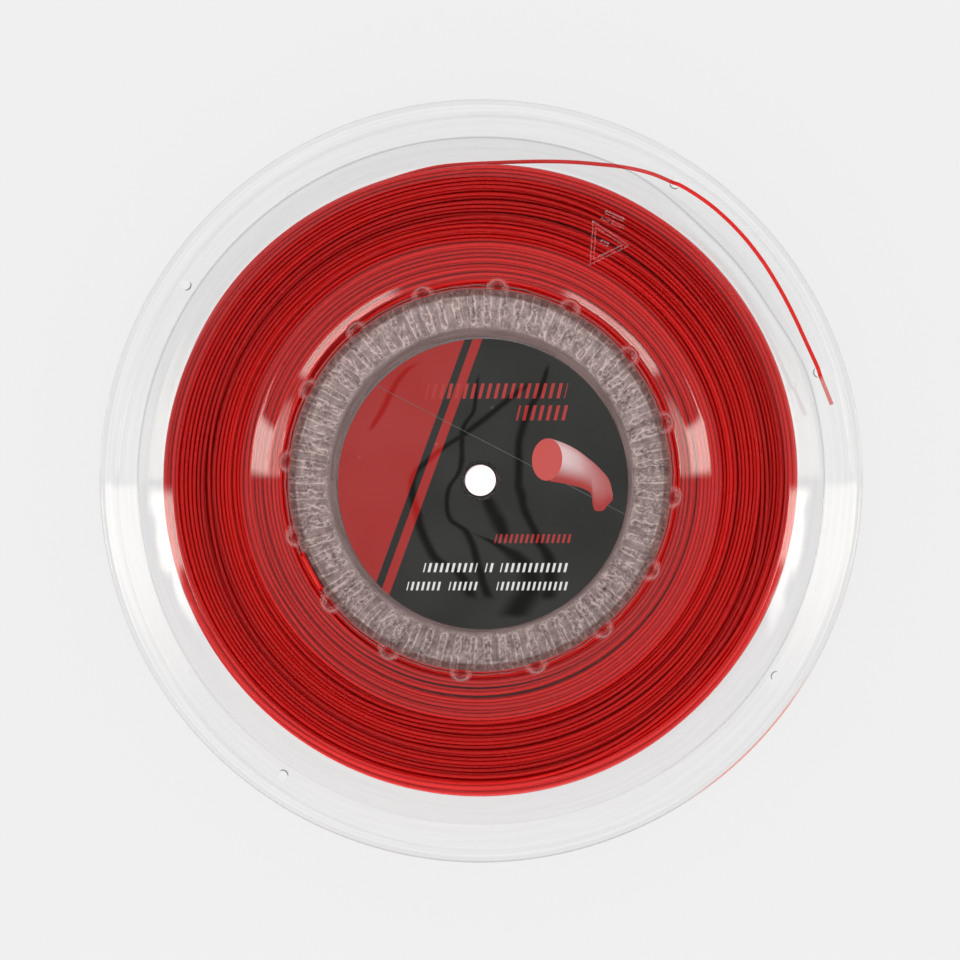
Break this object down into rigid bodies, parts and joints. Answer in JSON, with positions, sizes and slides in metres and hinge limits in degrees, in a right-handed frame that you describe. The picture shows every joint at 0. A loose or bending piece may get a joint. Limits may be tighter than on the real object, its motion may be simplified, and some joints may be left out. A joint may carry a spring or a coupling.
{
  "type": "string reel",
  "caption": "Flat round reel of clear plastic with a fluted hub well and a labelled hub, wound full with thin red racket string whose free end is threaded through the flange.",
  "frame": {"origin": "centre of the spindle bore, on the spool axis halfway between the two flanges", "axes": "+Z along the spool axis towards the front label; +X and +Y lie in the plane of the flanges, with the front shell's string-locking holes at 17.4, 56.4, 146.4, 236.4 and 326.4 degrees from +X towards +Y"},
  "size_m": [0.25, 0.25, 0.028],
  "materials": {
    "clear_shell": "clear glossy moulded plastic",
    "clear_core": "clear glossy moulded plastic",
    "label_front": "laminated print, black with a red field",
    "label_back": "laminated print, plain black",
    "string": "red translucent polyester monofilament, glossy"
  },
  "bodies": {
    "reel": {"front_shell": "clear_shell", "back_shell": "clear_shell", "winding_core": "clear_core", "front_label": "label_front", "back_label": "label_back", "string_pack": "string", "string_tail": "string", "string_start": "string"},
    "tip": {"string_tip": "string"}
  },
  "joints": [
    {"name": "tip_flex", "type": "hinge", "parent": "reel", "child": "tip", "pos_m": [0.11233, 0.0321, 0.01068], "axis": [0, 0, 1], "range_deg": [-10, 12]}
  ]
}
